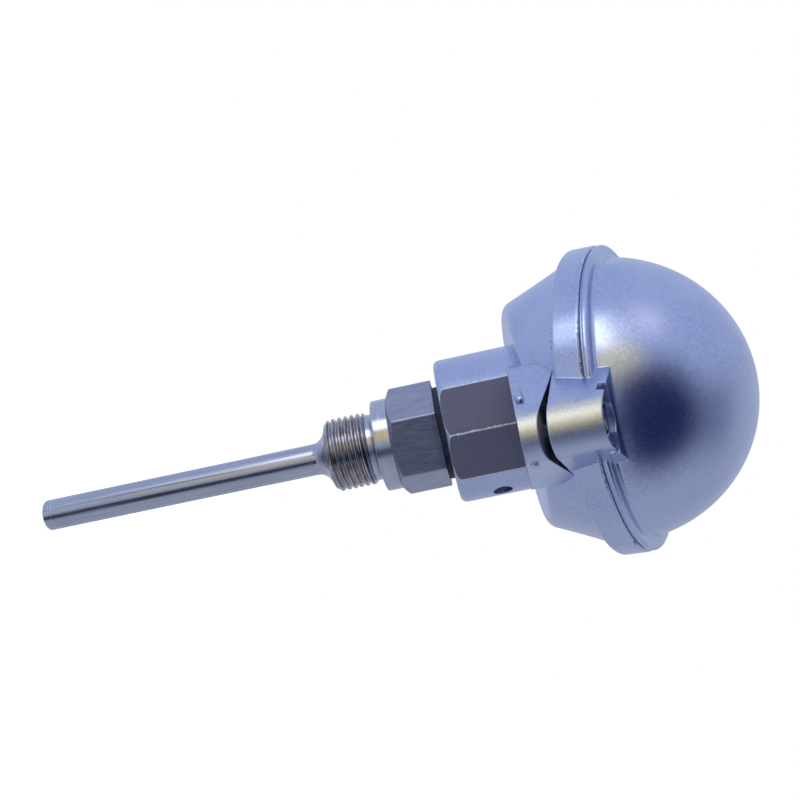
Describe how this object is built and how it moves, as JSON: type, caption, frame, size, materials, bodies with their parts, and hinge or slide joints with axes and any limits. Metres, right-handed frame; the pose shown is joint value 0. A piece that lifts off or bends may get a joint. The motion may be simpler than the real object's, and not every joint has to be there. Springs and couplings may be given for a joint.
{
  "type": "rtd probe with head",
  "caption": "Resistance thermometer probe with a pipe-thread fitting and a domed connection head whose slanted cover is hinged and held by a captive screw.",
  "frame": {"origin": "on the probe axis, in the sealing face of the collar above the process thread", "axes": "+Z along the probe axis from the tip to the head, -Y towards the cover's screw lug, +Y towards the hinge and the cable entry"},
  "size_m": [0.0844, 0.1197, 0.2044],
  "materials": {
    "stainless": "turned and brushed stainless steel",
    "cast_aluminium": "silver paint on die-cast aluminium",
    "dark_rubber": "matte",
    "zinc_steel": "zinc-plated steel",
    "white_ceramic": "unglazed steatite",
    "brass": "bright brass",
    "lead_nickel": "bare nickel wire",
    "nickel_brass": "nickel-plated brass"
  },
  "bodies": {
    "head": {"protection_tube": "stainless", "tube_end_plug": "stainless", "process_fitting": "stainless", "neck_gasket": "dark_rubber", "head_body": "cast_aluminium", "neck_grub_screw": "zinc_steel", "hinge_pin": "zinc_steel", "insert_screws": "zinc_steel", "insert_springs": "zinc_steel", "earth_screw": "zinc_steel", "gland_body": "nickel_brass", "gland_washer": "dark_rubber", "gland_seal": "dark_rubber", "gland_nut": "nickel_brass"},
    "hinged_cover": {"cover": "cast_aluminium", "cover_gasket": "dark_rubber"},
    "captive_ring": {"screw_retainer": "zinc_steel"},
    "captive_screw": {"cover_screw": "zinc_steel"},
    "measuring_insert": {"insert_sheath": "stainless", "insert_disc": "stainless", "terminal_block": "white_ceramic", "terminal_clamps": "brass", "terminal_screws": "zinc_steel", "lead_wires": "lead_nickel"}
  },
  "joints": [
    {"name": "cover_hinge", "type": "hinge", "parent": "head", "child": "hinged_cover", "pos_m": [0, 0.0393, 0.08379], "axis": [-1, 0, 0], "range_deg": [0, 110]},
    {"name": "screw_lift", "type": "slide", "parent": "hinged_cover", "child": "captive_ring", "axis": [0, -0.4067, 0.9135], "range_m": [0, 0.0046]},
    {"name": "screw_turn", "type": "hinge", "parent": "captive_ring", "child": "captive_screw", "pos_m": [0, -0.05, 0.0566], "axis": [0, -0.4067, 0.9135], "range_deg": [0, 2071]},
    {"name": "insert_travel", "type": "slide", "parent": "head", "child": "measuring_insert", "axis": [0, 0, 1], "range_m": [0, 0.003], "stiffness_N_per_m": 1600, "springref_m": -0.004, "deforming": ["insert_springs"]}
  ],
  "couplings": [
    {"joint": "screw_turn", "follows": "screw_lift", "rad_per_m": 7854}
  ]
}
